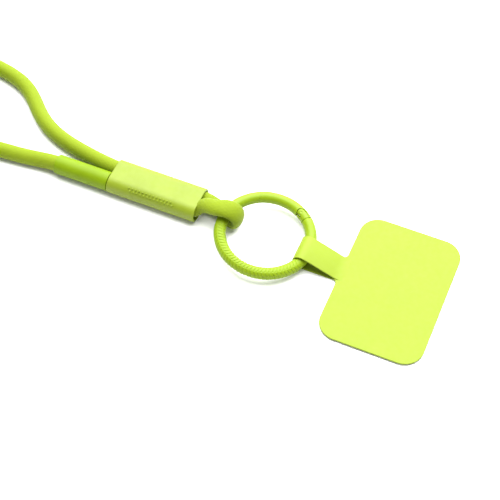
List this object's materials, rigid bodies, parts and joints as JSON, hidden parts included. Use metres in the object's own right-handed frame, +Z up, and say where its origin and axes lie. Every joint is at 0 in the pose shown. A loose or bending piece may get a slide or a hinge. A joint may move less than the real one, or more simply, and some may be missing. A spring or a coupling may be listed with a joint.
{
  "type": "phone lanyard",
  "caption": "Phone lanyard with a round neck cord, a moulded sleeve, a hinged gate ring held in the cord's loop, and a thin tab folded over the ring.",
  "frame": {"origin": "on the surface that the lanyard rests on, under the centre of the ring", "axes": "+X runs from the ring to the tab, along the sleeve; +Z is up, square to the tab's sheet; +Y completes the right hand"},
  "size_m": [0.286, 0.0887, 0.0127],
  "materials": {
    "cord": "matt, finely braided lime-olive cord",
    "core": "undyed parallel yarns",
    "sleeve": "moulded lime elastomer, satin",
    "ferrule": "lime elastomer tube, satin",
    "ring": "lime powder coat, satin",
    "steel": "plain steel",
    "crimp": "rolled",
    "sheet": "coated sheet, matt to satin",
    "film": "adhesive film, matt",
    "tie": "woven strap, matt"
  },
  "bodies": {
    "cord": {"sleeve": "sleeve", "crimp_band": "crimp", "cord_sheath_near": "cord", "cord_core_near": "core", "cord_sheath_far": "cord", "cord_core_far": "core", "ferrule": "ferrule", "splice_crimp": "crimp", "cord_upper": "cord", "cord_lower": "cord", "coil_lower": "cord", "coil_upper": "cord", "coil_tie": "tie"},
    "bight": {"cord_bight": "cord"},
    "ring": {"ring_body": "ring", "gate_pin": "ring"},
    "gate": {"ring_gate": "ring", "gate_spring": "steel"},
    "tab": {"tab_sheet": "sheet", "tail_film": "film", "tab_pad": "film"}
  },
  "joints": [
    {"name": "bight_bend", "type": "hinge", "parent": "cord", "child": "bight", "pos_m": [-0.0244, 0.0032, 0.00395], "axis": [0, 1, 0], "range_deg": [-20, 45]},
    {"name": "ring_turn", "type": "hinge", "parent": "bight", "child": "ring", "pos_m": [0, 0, 0.00456], "axis": [0.0698, 0, 0.9976], "range_deg": [-90, 10]},
    {"name": "gate_open", "type": "hinge", "parent": "ring", "child": "gate", "pos_m": [0.00856, 0.01374, 0.00396], "axis": [0.0698, 0, 0.9976], "range_deg": [0, 35], "stiffness_Nm_per_rad": 0.02, "springref_deg": -28.65, "deforming": ["gate_spring"]},
    {"name": "tab_swing", "type": "hinge", "parent": "ring", "child": "tab", "pos_m": [0.01639, -0.0009, 0.00342], "axis": [0, 1, 0], "range_deg": [-95, 95]}
  ]
}
